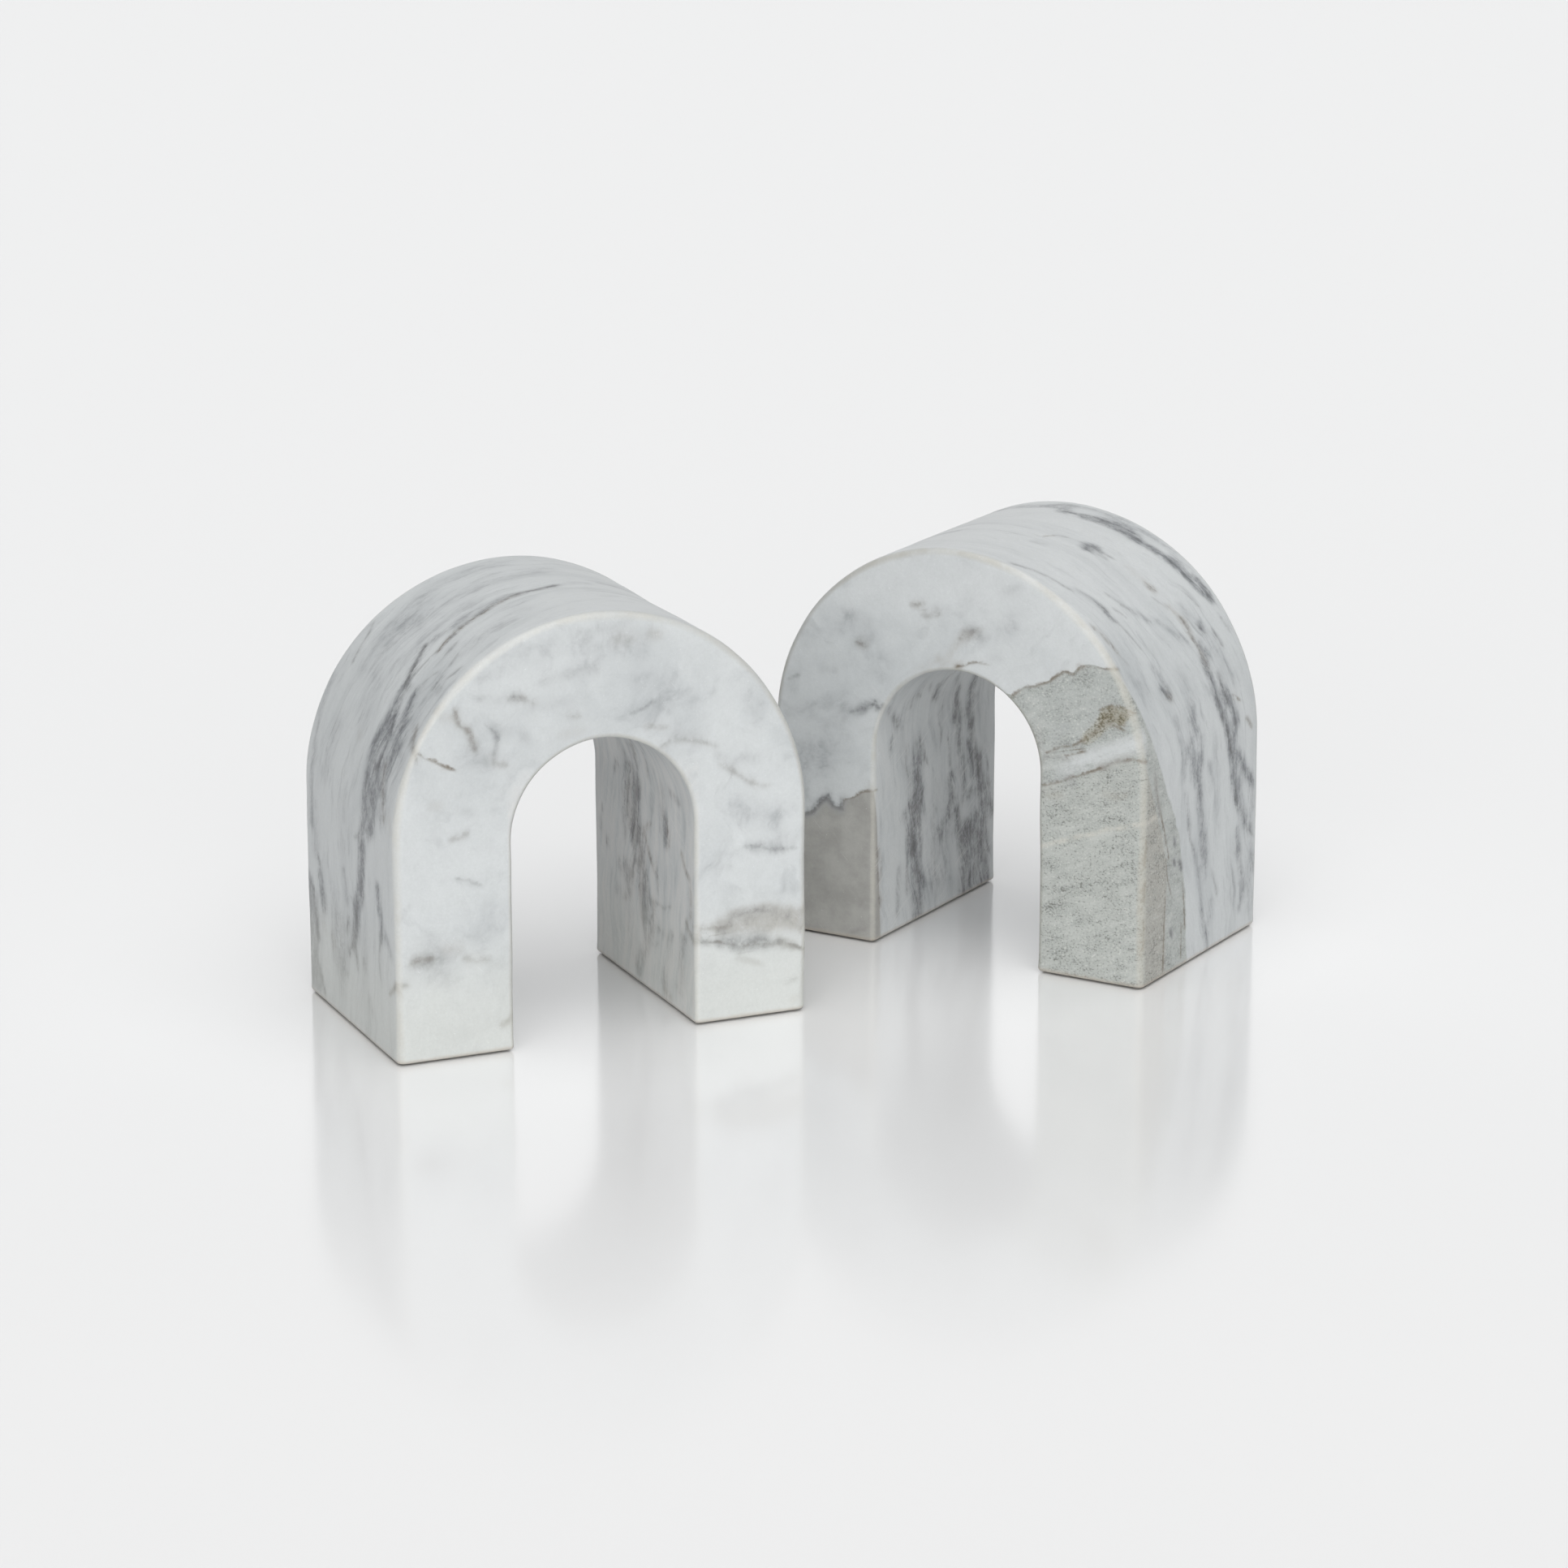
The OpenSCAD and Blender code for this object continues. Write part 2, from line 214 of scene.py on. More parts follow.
RIGHT_VEINS = {
    "front": [
        ("umber", (-15, 111.2), (-12.6, 111.9)), ("fleck", (-11, 108.1), (-9, 108.5), (-7, 109)),
        ("faint", (-7, 111), (-4, 111)), ("umber", (-34.6, 96.6), (-33, 96.2)),
        ("faint", (-32, 97), (-30, 98.3)), ("umber", (1.8, 103), (3.6, 103.8)),
        ("fleck", (3.6, 103.8), (5.6, 105), (7.4, 105.8)), ("faint", (4, 106), (8, 104), (10, 103)),
        ("tan", (3, 103.5), (-1, 99), (-4, 96.5), (-6, 95)),
        ("brown", (1, 93.6), (4, 95), (7, 95.8), (9.8, 95.8)), ("faint", (12, 97.5), (15, 98)),
        ("thread", (-37, 74.3), (-34, 75.4)), ("ink", (-33, 75.8), (-31, 77), (-29.4, 77.8)),
        ("ink", (-27.6, 77), (-27.2, 77.3)),
        ("faint", (-60, 70.5), (-54, 73.5), (-48, 75.5), (-40, 75.8)),
        ("faint", (-46, 69.5), (-40, 72), (-34, 75)), ("thread", (-59, 82.2), (-57, 83)),
        ("faint", (-54, 93), (-52, 94)), ("cloud", (-44, 101), (-37, 102)),
        ("faint", (-40, 105.5), (-31, 104)), ("faint", (-47, 86.5), (-43, 87)),
        ("faint", (15, 118.5), (19, 120), (22, 122)), ("cloud", (17, 107), (19, 110)),
        ("tan", (-14, 90.5), (-6, 93.5), (0, 93.5)),
        ("ink", (-53, 39.2), (-51, 40.2), (-48, 43.7), (-45.5, 45.4), (-43.6, 42.7),
         (-41, 42.5), (-39.8, 45.3)), ("brown", (-39.8, 45.3), (-36, 46.7), (-33, 49), (-30, 49.6)),
        ("fleck", (-35.6, 3.2), (-32.8, 4.2)),
        ("brown", (20, 87), (23, 90), (27, 90.8), (32, 93), (35, 95.5), (37, 97), (40, 96.4),
         (42, 98.6)), ("brown", (42, 98.6), (44, 99.6), (47, 99.8), (53, 99)),
        ("fleck", (30, 67.5), (31, 69), (34, 69.8), (38, 69.4)),
        ("brown", (32, 71), (36, 73), (40, 73.8), (44, 76), (48, 79.5)),
        ("rust", (45, 77), (48, 79.5), (49.5, 81.4), (51, 83.8)), ("tan", (46, 78), (52, 84)),
        ("rust", (51, 84), (53.5, 84.6), (56.5, 84)), ("brown", (50, 82), (53, 82.4), (56, 81.5)),
        ("brown", (50.5, 86.6), (53, 87.6), (56, 88), (59, 87)),
        ("rust", (52, 86), (55, 86.6), (58, 86.2)), ("brown", (38, 70.6), (43, 72.2)),
        ("brown", (31, 60.5), (36, 62), (40, 64), (45, 66), (50, 68.3)),
        ("umber", (50, 68.3), (54, 70.8), (58, 72)), ("brown", (58, 72), (61, 73), (65, 71.5)),
        ("tan", (51, 60.5), (55, 60), (58.5, 61.2)), ("tan", (31, 57), (36, 58)),
        ("faint", (34, 76.5), (38, 79.5)), ("faint", (36, 64), (40, 63)), ("cloud", (-56, 62), (-40, 64)),
        ("cloud", (-58, 54), (-46, 56)),
    ],
    "outer_right": [
        ("brown", (156, -3), (155.4, -1.6)), ("thread", (154, 0.8), (152.8, 1.5)),
        ("smoke", (156, -12), (153, -11)), ("braid", (144, 1), (144.8, 4), (143, 5.5)),
        ("thread", (143, 5.5), (139, 5.2), (137, 6)), ("thread", (142, 1.6), (138, 2.5)),
        ("thread", (150, -36), (144, -33), (138, -31.5), (132, -30)),
        ("smoke", (130, -27), (125, -24.5), (117, -24)), ("thread", (123, -23.8), (121, -23)),
        ("thread", (119, -24), (113, -22), (106, -20)),
        ("thread", (125, -14.5), (121, -13), (119.3, -12)), ("thread", (119, -17.5), (116.5, -16)),
        ("smoke", (117, -10), (112, -6), (110, -1)), ("smoke", (107, 1), (104, 4), (101, 7)),
        ("umber", (117, -36.5), (112, -35), (107, -33.5)), ("thread", (103.5, -32.4), (102, -32)),
        ("tan", (131, 8), (125, 8.5), (121, 9)), ("umber", (122, 8.6), (120.6, 9.2)),
        ("thread", (117, 6), (114, 7.5)), ("tan", (113, 10), (108, 11), (105, 12)),
        ("umber", (107, 12), (100, 11.6), (96, 12), (91, 12.5)), ("smoke", (112, 16.5), (108, 17)),
        ("thread", (103, 18.6), (101.6, 19.6)), ("smoke", (101.6, 19.6), (104, 20.6)),
        ("thread", (114, 23), (110, 24.5)), ("thread", (99.5, 25.3), (95.5, 26.5)),
        ("thread", (103, 33.4), (99, 34.2)), ("smoke", (98, 14), (94, 16)),
        ("mist", (192, 31.5), (180, 29.5), (168, 30)),
        ("braid", (166, 26), (158, 25.6), (153, 26.6), (146, 27), (140, 27.6)),
        ("braid", (140, 27.6), (135, 28.5), (130, 29), (126, 30.5)), ("thread", (134, 28.4), (131, 29)),
        ("thread", (128, 30), (126, 30.6)), ("braid", (126, 30.5), (120, 30.6), (115, 31.6), (110, 33.8)),
        ("thread", (159, 28), (155, 28.4)), ("braid", (153, 29), (150, 29.6), (146, 30.6), (143, 30.4)),
        ("smoke", (170, 34), (150, 35.5), (130, 36), (114, 35)),
        ("thread", (118, 35), (112, 36), (109.6, 34)), ("braid", (92, 12), (84, 12), (80, 13)),
        ("ink", (80, 13), (75, 14.5), (71, 16.5), (66, 18), (62, 19.4)),
        ("braid", (78, 14), (70, 17), (64, 19)), ("ink", (86, 17.4), (82, 18.5), (78, 19.5)),
        ("braid", (79, 19.6), (75, 22), (70, 23.4)), ("braid", (71, 23), (65, 21)),
        ("brown", (78, 25), (77, 26.6)), ("braid", (60, 20.5), (55, 21.5), (50, 22.5), (45, 25)),
        ("mist", (54, 22.5), (47, 25.5), (41, 28), (34, 33.5)),
        ("thread", (45, 24), (41, 27.5), (36, 30.5), (31, 36)),
        ("braid", (60, 24.4), (56, 28), (52, 31), (49, 34)), ("smoke", (48, 34.6), (40, 35.5)),
        ("umber", (69, 31.5), (67, 33.6)), ("smoke", (35, 25), (28, 26)),
        ("thread", (28, 26), (24.6, 27), (20.6, 28.6)), ("smoke", (27, 35), (19, 36.6)),
        ("smoke", (17, 30), (9, 28)), ("smoke", (98, -18.6), (93, -17)),
        ("braid", (90, -18.4), (88.4, -16)), ("umber", (88.6, -16.6), (87, -15.6)),
        ("smoke", (80, -16), (72, -15), (66, -14), (61, -13.5)), ("smoke", (79, -5), (74, -4)),
        ("cloud", (78, -8), (70, -7.4), (64, -5.6)), ("braid", (60, -4.6), (55, -2), (50, -1.6)),
        ("smoke", (52, -1.5), (45, -1), (40, 1), (34, 3), (26, 3.5)),
        ("smoke", (55, -12), (50, -10.6), (45, -9)), ("thread", (45, -9), (40, -8), (36, -5.4)),
        ("smoke", (36, -5), (28, -2.6), (22, 0), (14, 1), (7, 3)), ("smoke", (61, 4), (57, 6), (54, 7)),
        ("thread", (25, 8), (20, 10.6), (18, 11)), ("smoke", (16, 7), (8, 6), (2, 5)),
        ("smoke", (95, -30), (92, -28)), ("cloud", (92, -5), (85, -3)), ("mist", (69, -8.5), (60, -5)),
        ("mist", (45, 0), (30, 1.5)), ("smoke", (70, -1), (64, -1.5)), ("cloud", (96, 20), (84, 26)),
        ("cloud", (30, 24), (14, 22)), ("cloud", (8, 34), (20, 34)),
        ("umber", (66, -33), (60, -31.5), (54, -29.5)),
        ("brown", (53, -28.6), (47, -26.4), (43, -25), (39, -23.6)),
        ("brown", (37, -25), (31, -23.6), (26, -21)), ("tan", (50, -38.8), (30, -39.2), (6, -39)),
        ("brown", (46, -38.4), (41, -38.9)), ("brown", (33, -38.8), (29, -39)),
        ("brown", (21, -39), (15, -38.8)), ("brown", (26, -13), (18, -11.4), (13.6, -10.8)),
        ("brown", (13, -13.6), (5, -13.4)), ("brown", (24, -25), (4, -25.6)),
        ("ink", (42.6, -19.6), (42.2, -19.4)), ("ink", (36, -19.2), (35.7, -18.9)),
        ("ink", (34.4, -15.2), (33, -14.4)), ("ink", (13.4, -20.2), (13, -20)),
    ],
    # The broad clouds and mists over this inner wall are partly the stone's grey streaks and partly painted
    # shade on a wall that faces into the opening
    "inner_left": [
        ("thread", (80, 1), (79, -1), (76.5, -3.4)), ("braid", (76, -5.6), (73, -5)),
        ("smoke", (77, 7), (74, 9), (70, 11)), ("braid", (70, 11.4), (66, 12), (61, 12)),
        ("thread", (55, 7.4), (52.6, 8), (47, 8.7)), ("braid", (42, 9.6), (37, 10.5), (34.6, 11)),
        ("thread", (34, 8), (30.6, 8.5)), ("braid", (30, 13), (26, 14.5), (20, 17)),
        ("shade", (20, 20), (12, 20.5), (2, 20.5)), ("braid", (75, 21.5), (65, 21), (58, 22)),
        ("ink", (58, 22.6), (53, 23.5), (48, 25.5), (44, 27)),
        ("braid", (44, 27), (39, 29), (34, 31), (30, 34), (25, 37)),
        ("braid", (50, 21.6), (43, 24), (40, 25.2)), ("ink", (34.6, 22.8), (33.6, 21.4)),
        ("smoke", (36, 18), (32, 17)), ("shade", (23, 24), (17, 27), (10, 30), (2, 31)),
        ("thread", (59, -19.5), (54, -20.6), (50, -18.6)), ("cloud", (58, -12), (50, -16), (40, -13)),
        ("shade", (44, -13), (34, -14), (28, -14)), ("braid", (30, -14.4), (26, -13.4), (21, -13.6)),
        ("thread", (31, -18.5), (26, -18), (20, -19), (12, -19)), ("shade", (12, -11), (2, -12)),
        ("thread", (53.6, -8), (51, -6.2)), ("thread", (76.5, -17.5), (75.8, -16.4)),
        ("thread", (78.4, -12), (77, -11)), ("smoke", (76, -36), (72, -31), (68, -27)),
        ("thread", (64, -29), (61.6, -29.4)), ("tan", (48, -40), (36, -38.6), (20, -37), (4, -36)),
        ("umber", (29, -37.4), (27.6, -37)), ("umber", (22, -36.8), (21, -36.6)),
        ("umber", (13.4, -36.6), (12.8, -36.4)), ("smoke", (37, -21), (36, -21)),
        ("smoke", (28, 5), (24, 4.4)), ("smoke", (20, -24), (6, -25)), ("cloud", (70, 24), (60, 26)),
        ("cloud", (46, 32), (36, 34)), ("cloud", (30, 8), (10, 6)), ("cloud", (24, 26), (4, 28)),
        ("mist", (62, 14), (50, 15), (40, 18)), ("mist", (34, 28), (24, 32)),
        ("cloud", (40, -14), (10, -14)), ("mist", (58, -12), (44, -12), (12, -12)),
        ("mist", (22, 18), (2, 18)), ("mist", (18, 32), (2, 34)), ("cloud", (80, -20), (60, -24)),
        ("cloud", (40, 0), (8, -2)), ("cloud", (72, 2), (58, 2)),
    ],
    "outer_left": [
        ("smoke", (150, -10), (138, -12), (124, -16)),
        ("smoke", (126, 14), (112, 18), (98, 17), (84, 22)), ("thread", (104, 17), (98, 18)),
        ("smoke", (84, 22), (66, 24), (48, 30)), ("thread", (92, -12), (80, -16), (70, -15)),
        ("umber", (44, -40), (40, -34), (36, -30)), ("cloud", (60, 4), (40, 8)),
        ("smoke", (36, -10), (20, -6), (8, -8)),
    ],
    "inner_right": [
        ("smoke", (76, 2), (64, 6), (52, 5), (42, 9)), ("mist", (42, 16), (28, 20), (10, 22)),
        ("thread", (60, -14), (48, -16), (40, -20)), ("smoke", (30, -8), (16, -10)),
        ("thread", (50, 5), (47, 7)),
    ],
    "back": [
        ("smoke", (-60, 88), (-48, 92), (-36, 100), (-22, 106)), ("mist", (-64, 78), (-58, 70)),
        ("smoke", (64, 84), (56, 88), (46, 98), (34, 106)), ("mist", (60, 66), (50, 58), (40, 52)),
        ("thread", (52, 60), (44, 54), (38, 52)), ("thread", (-10, 112), (4, 108), (16, 110)),
        ("smoke", (30, 30), (44, 26), (60, 30)), ("smoke", (-62, 40), (-50, 34), (-38, 36)),
        ("thread", (-54, 36), (-48, 33.6)), ("smoke", (-60, 16), (-44, 20), (-30, 18)),
        ("smoke", (34, 12), (48, 8), (62, 10)), ("cloud", (-30, 112), (-16, 118)),
    ],
}


# ---------------------------------------------------------------- camera, floor and light

def make_camera():
    """The camera stands in front of the pair, a little above it, and looks slightly down."""
    height, distance, pitch = 0.4723, 1.476, math.radians(15.73)
    data = bpy.data.cameras.new("camera")
    data.lens = 114.6
    data.clip_end = 50
    camera = bpy.data.objects.new("camera", data)
    bpy.context.collection.objects.link(camera)
    camera.location = (-0.0025, -distance, height)
    camera.rotation_euler = (math.pi / 2 - pitch, 0, 0)
    bpy.context.scene.camera = camera


def soft_light(name, towards, spread, strength):
    """Even light from the direction of towards, as wide as spread degrees, so shadows are soft."""
    data = bpy.data.lights.new(name, "SUN")
    data.energy = strength
    data.angle = math.radians(spread)
    light = bpy.data.objects.new(name, data)
    bpy.context.collection.objects.link(light)
    light.rotation_euler = Vector(towards).to_track_quat("Z", "Y").to_euler()


# ---------------------------------------------------------------- node formulas

class Term:
    """One output of a node, which can be added to, multiplied and so on like a number."""

    def __init__(self, graph, socket):
        self.graph, self.socket = graph, socket

    def __add__(self, other):
        return self.graph.math("ADD", self, other)

    def __sub__(self, other):
        return self.graph.math("SUBTRACT", self, other)

    def __rsub__(self, other):
        return self.graph.math("SUBTRACT", other, self)

    def __mul__(self, other):
        return self.graph.math("MULTIPLY", self, other)

    def __truediv__(self, other):
        return self.graph.math("DIVIDE", self, other)

    def __abs__(self):
        return self.graph.math("ABSOLUTE", self)

    __radd__ = __add__
    __rmul__ = __mul__


class Graph:
    """A material or world whose nodes are written as formulas."""

    def __init__(self, tree):
        self.tree = tree
        tree.nodes.clear()

    def node(self, kind, inputs=None, **settings):
        made = self.tree.nodes.new(kind)
        for key, value in settings.items():
            setattr(made, key, value)
        for key, value in (inputs or {}).items():
            self.feed(made.inputs[key], value)
        return made

    def feed(self, socket, value):
        if isinstance(value, Term):
            self.tree.links.new(value.socket, socket)
        elif isinstance(value, tuple) and socket.type == "RGBA":
            socket.default_value = (*value, 1)
        else:
            socket.default_value = value

    def math(self, operation, *values):
        made = self.node("ShaderNodeMath", operation=operation)
        for socket, value in zip(made.inputs, values):
            self.feed(socket, value)
        return Term(self, made.outputs[0])

    def smooth(self, value, low, high):
        """0 up to low and 1 from high on, with a soft step between them."""
        made = self.node("ShaderNodeMapRange", interpolation_type="SMOOTHSTEP")
        for key, number in (("Value", value), ("From Min", low), ("From Max", high)):
            self.feed(made.inputs[key], number)
        return Term(self, made.outputs[0])

    def ridge(self, value, width):
        """1 where value is 0, falling softly to 0 at width on either side."""
        return self.smooth(abs(value) / width, 1, 0)

    def point(self, x, y, z):
        made = self.node("ShaderNodeCombineXYZ", {"X": x, "Y": y, "Z": z})
        return Term(self, made.outputs[0])

    def noise(self, point, detail=2.0, roughness=0.5, seed=0.0):
        """Noise from -1 to 1 whose features are about one unit of point across."""
        settings = {"W": seed, "Scale": 1.0, "Detail": detail, "Roughness": roughness}
        made = self.node("ShaderNodeTexNoise", {"Vector": point, **settings}, noise_dimensions="4D")
        return Term(self, made.outputs[0]) * 2.0 - 1.0

    def mix(self, amount, first, second, blend="MIX"):
        made = self.node("ShaderNodeMix", data_type="RGBA", blend_type=blend)
        self.feed(made.inputs[0], amount)
        self.feed(made.inputs[6], first)
        self.feed(made.inputs[7], second)
        return Term(self, made.outputs[2])

    def kept(self, name):
        """A value that the mesh keeps at each of its points."""
        return Term(self, self.node("ShaderNodeAttribute", attribute_name=name).outputs["Fac"])

    def place(self):
        """The place in the object, which moves with it."""
        return Term(self, self.node("ShaderNodeTexCoord").outputs["Object"])

    def apart(self, point):
        """The three coordinates of a point."""
        return [Term(self, s) for s in self.node("ShaderNodeSeparateXYZ", {"Vector": point}).outputs]

    def surface(self, colour, roughness, height, depth, **fixed):
        """Ends the material with a shader whose bumps are depth metres high."""
        bump = self.node("ShaderNodeBump", {"Strength": 0.5, "Distance": depth, "Height": height})
        shader = self.node("ShaderNodeBsdfPrincipled", {"Base Color": colour, "Roughness": roughness,
                           "Normal": Term(self, bump.outputs[0]), **fixed})
        out = self.node("ShaderNodeOutputMaterial")
        self.tree.links.new(shader.outputs[0], out.inputs[0])


def new_material(name):
    material = bpy.data.materials.new(name)
    material.use_nodes = True
    return material, Graph(material.node_tree)


# ---------------------------------------------------------------- the arches' shape

class Arch:
    """Where one arch stands and its sizes in millimetres, all read from the frame."""

    def __init__(self, side):
        self.side = side
        spots = {name: Vector(MOUNTS[f"{side}_{name}"]["pos_m"])
                 for name in ("inner_side", "outer_side", "front", "back")}
        centre = (spots["inner_side"] + spots["outer_side"]) / 2
        facing = Vector(MOUNTS[f"{side}_back"]["axis"])
        self.turn = math.atan2(-facing.x, facing.y)
        self.centre = Vector((centre.x, centre.y, 0))
        self.width = (spots["inner_side"] - spots["outer_side"]).length / MM
        self.depth = (spots["front"] - spots["back"]).length / MM
        low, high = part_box(f"{side}_arch")
        self.bottom, self.top = low[2] / MM, high[2] / MM
        points = self.to_local(np.array([v.co for v in frame["nodes"][f"{side}_arch"].data.vertices]))
        across = np.abs(points[:, 0])
        self.gap_r = across[points[:, 2] < self.top / 3].min()
        self.gap_spring = points[across < 3, 2].min() - self.gap_r
        self.outer_r = self.width / 2
        self.spring = self.top - self.outer_r
        self.leg = self.outer_r - self.gap_r

    def to_local(self, points):
        """Row-frame metres to the arch's own millimetres: across, away from the front, and up."""
        return (points - np.array(self.centre)) @ np.array(Matrix.Rotation(self.turn, 3, "Z")) / MM

    def to_row(self, points):
        return points @ np.array(Matrix.Rotation(-self.turn, 3, "Z")) * MM + np.array(self.centre)


STEP = 1.0          # mesh spacing along and across the faces, in mm
EDGE_R = 2.6        # the radius the edges are ground to, in mm
FOOT_R = 1.2        # the smaller radius where the feet meet the table
EDGE_STEPS = 7      # faces round one ground edge
LEAN = {"left": 1.2, "right": 1.9}      # how far the outer curve leans to the left, in mm


def section(width, depth, radii, inset, steps):
    """A rounded rectangle as points (across from the opening, away from the front), in mm.

    radii are those of its four corners, every side is moved in by inset, and steps are the numbers
    of faces across it and along its depth. It also returns the points' outward directions and how
    far round an edge each one lies, 0 on a flat and 1 midway."""
    corners = [(0, 0, 180), (width, 0, 270), (width, depth, 0), (0, depth, 90)]
    arcs = []
    for (x, y, start), radius in zip(corners, radii):
        centre = np.array([x + (radius if x == 0 else -radius), y + (radius if y == 0 else -radius)])
        angles = np.radians(start + 90 * np.arange(EDGE_STEPS + 1) / EDGE_STEPS)
        outward = np.column_stack([np.cos(angles), np.sin(angles)])
        arcs.append((centre + outward * max(radius - inset, 0.05), outward))
    points, directions, rounding = [], [], []
    for k, (arc, outward) in enumerate(arcs):
        following = arcs[(k + 1) % 4][0][0]
        share = np.arange(1, steps[k % 2])[:, None] / steps[k % 2]
        flat = arc[-1] + (following - arc[-1]) * share
        points += [arc, flat]
        directions += [outward, np.repeat(outward[-1:], len(flat), axis=0)]
        rounding += [np.sin(np.pi * np.arange(EDGE_STEPS + 1) / EDGE_STEPS), np.zeros(len(flat))]
    return np.vstack(points), np.vstack(directions), np.concatenate(rounding)


def stations(arch):
    """The sections that the arch is built of, from its left foot over the crown to its right.

    Each is (inner point, outer point, inset), a point being (across, up) in mm."""
    low, made = arch.bottom, []
    for angle in np.linspace(0, math.pi / 2, EDGE_STEPS + 1):
        z = low + FOOT_R * (1 - math.cos(angle))
        made.append(((-arch.gap_r, z), (-arch.outer_r, z), FOOT_R * (1 - math.sin(angle))))
    start = low + FOOT_R
    for share in np.linspace(0, 1, round((arch.spring - start) / STEP) + 1)[1:-1]:
        inner = start + share * (arch.gap_spring - start)
        outer = start + share * (arch.spring - start)
        made.append(((-arch.gap_r, inner), (-arch.outer_r, outer), 0.0))
    leg = list(made)
    for angle in np.linspace(math.pi, 0, round(math.pi * arch.outer_r * 0.8 / STEP)):
        c, s = math.cos(angle), math.sin(angle)
        made.append(((arch.gap_r * c, arch.gap_spring + arch.gap_r * s),
                     (arch.outer_r * c - LEAN[arch.side] * s, arch.spring + arch.outer_r * s), 0.0))
    made += [((-a[0], a[1]), (-b[0], b[1]), inset) for a, b, inset in reversed(leg)]
    return made


def wobble(point, size, seed):
    """Smooth noise from about -1 to 1, with features of the given size in mm."""
    return noise.noise(Vector(point) / size + Vector((seed * 7.3, seed * 3.1, seed * 5.7)))


def up_surface(point, radius, spring):
    """How far a point of the outline lies from the top of the crown, along it, to the right."""
    across, up = point
    if up >= spring:
        return math.atan2(across, up - spring) * radius
    return math.copysign(math.pi / 2 * radius + spring - up, across)


def hand_finish(arch, point, seed, hollows):
    """How far the stone is ground away at a point: broad flats, a fainter ripple and hollows.

    It is ground least at the feet."""
    fade = min(1.0, 0.5 + (point[2] - arch.bottom) / 8)
    sunk = 0.33 + 0.22 * wobble(point, 36, seed) + 0.07 * wobble(point, 12, seed + 5)
    for spot, radius, depth in hollows:
        gone = math.dist(point, spot) / radius
        if gone < 1:
            sunk += depth * (1 - gone * gone) ** 2
    return sunk * fade


def arch_mesh(arch, seed, hollows):
    """The points of one arch in mm, its faces, and what the material needs at each point."""
    rows, edges, arcs, shares, faces = [], [], [], [], []
    steps = (round(arch.leg / STEP), round(arch.depth / STEP))
    for inner, outer, inset in stations(arch):
        arc_in = up_surface(inner, arch.gap_r, arch.gap_spring)
        arc_out = up_surface(outer, arch.outer_r, arch.spring)
        inner, outer = np.array(inner), np.array(outer)
        width = np.linalg.norm(outer - inner)
        across = (outer - inner) / width
        ends = [inner, outer, outer, inner]
        # The outer edges, the second and third, are ground rounder than the opening's
        radii = [EDGE_R * (0.72 + 0.30 * (k in (1, 2)) + 0.28 * wobble((*end, 40.0 * (k > 1)), 22, seed + k))
                 for k, end in enumerate(ends)]
        flat, outward, rounding = section(width, arch.depth, radii, inset, steps)
        place = np.column_stack([inner[0] + flat[:, 0] * across[0], flat[:, 1] - arch.depth / 2,
                                 inner[1] + flat[:, 0] * across[1]])
        normal = np.column_stack([outward[:, 0] * across[0], outward[:, 1], outward[:, 0] * across[1]])
        sunk = [hand_finish(arch, p, seed, hollows) for p in place]
        share = flat[:, 0] / width
        rows.append(place - normal * np.array(sunk)[:, None])
        edges.append(rounding)
        arcs.append(arc_in + (arc_out - arc_in) * share)
        shares.append(share)
    count = len(rows[0])
    for a in range(len(rows) - 1):
        for b in range(count):
            c = (b + 1) % count
            faces.append((a * count + b, (a + 1) * count + b, (a + 1) * count + c, a * count + c))
    last = (len(rows) - 1) * count
    faces.append(tuple(range(count)))
    faces.append(tuple(last + b for b in range(count - 1, -1, -1)))
    return np.vstack(rows), faces, np.concatenate(edges), np.concatenate(arcs), np.concatenate(shares)


def face_view(arch, face, points, arcs, shares):
    """Each point's coordinates on a face, as the vein lists use them, and its depth below it."""
    if face == "front":
        return points[:, 0], points[:, 2], points[:, 1] + arch.depth / 2
    if face == "back":
        return points[:, 0], points[:, 2], arch.depth / 2 - points[:, 1]
    if face.startswith("outer"):
        reach, below = math.pi / 2 * arch.outer_r + arch.spring, (1 - shares) * arch.leg
    else:
        reach, below = math.pi / 2 * arch.gap_r + arch.gap_spring, shares * arch.leg
    climbed = reach + (arcs if face.endswith("left") else -arcs)
    return climbed, points[:, 1], below


def near_path(a, b, path):
    """Distance of every point to a path, and the same distance signed by the side it is on."""
    near = np.full(len(a), 1e6)
    side = np.zeros(len(a))
    for (a0, b0), (a1, b1) in zip(path, path[1:]):
        da, db = a1 - a0, b1 - b0
        length = math.hypot(da, db)
        share = np.clip(((a - a0) * da + (b - b0) * db) / length ** 2, 0, 1)
        gone = np.hypot(a - a0 - share * da, b - b0 - share * db)
        closer = gone < near
        near[closer] = gone[closer]
        side[closer] = (((a - a0) * db - (b - b0) * da) / length)[closer]
    return near, side


